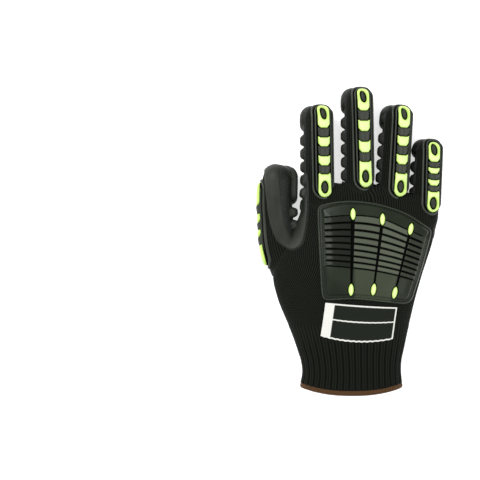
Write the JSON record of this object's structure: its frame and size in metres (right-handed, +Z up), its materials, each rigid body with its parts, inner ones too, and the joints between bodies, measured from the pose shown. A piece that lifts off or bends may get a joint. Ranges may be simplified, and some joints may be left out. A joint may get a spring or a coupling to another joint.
{
  "type": "anti vibration glove",
  "caption": "Right-hand knitted work glove with a padded rubber palm, moulded finger guards and a louvred knuckle panel, lying palm down.",
  "frame": {"origin": "under the middle of the glove's bounding box, on the surface that it lies on", "axes": "+Y from the cuff to the fingertips, +X from the thumb to the little finger, +Z up through the back of the hand"},
  "size_m": [0.1538, 0.255, 0.0466],
  "materials": {
    "knit_yarn": "matte black ribbed knit",
    "pad_rubber": "satin dark green-grey, finely speckled",
    "guard_rubber": "satin moulded",
    "bright_rubber": "satin moulded, bright yellow-green",
    "hem_yarn": "matte overlocked yarn",
    "label_print": "matte transfer with a pale border"
  },
  "bodies": {
    "root": {"knit_liner": "knit_yarn", "cuff_hem": "hem_yarn", "palm_coating": "pad_rubber", "knuckle_panel": "guard_rubber", "panel_oval_upper_1": "bright_rubber", "panel_oval_lower_1": "bright_rubber", "panel_oval_upper_2": "bright_rubber", "panel_oval_lower_2": "bright_rubber", "panel_oval_upper_3": "bright_rubber", "panel_oval_lower_3": "bright_rubber", "index_guard": "guard_rubber", "index_insert_base": "bright_rubber", "index_insert_lower": "bright_rubber", "index_insert_upper": "bright_rubber", "index_insert_tip": "bright_rubber", "middle_guard": "guard_rubber", "middle_insert_base": "bright_rubber", "middle_insert_lower": "bright_rubber", "middle_insert_upper": "bright_rubber", "middle_insert_tip": "bright_rubber", "ring_guard": "guard_rubber", "ring_insert_base": "bright_rubber", "ring_insert_lower": "bright_rubber", "ring_insert_upper": "bright_rubber", "ring_insert_tip": "bright_rubber", "little_guard": "guard_rubber", "little_insert_base": "bright_rubber", "little_insert_lower": "bright_rubber", "little_insert_upper": "bright_rubber", "little_insert_tip": "bright_rubber", "thumb_guard": "guard_rubber", "thumb_insert_base": "bright_rubber", "thumb_insert_lower": "bright_rubber", "thumb_insert_upper": "bright_rubber", "thumb_insert_tip": "bright_rubber", "label_patch": "label_print"}
  },
  "joints": []
}
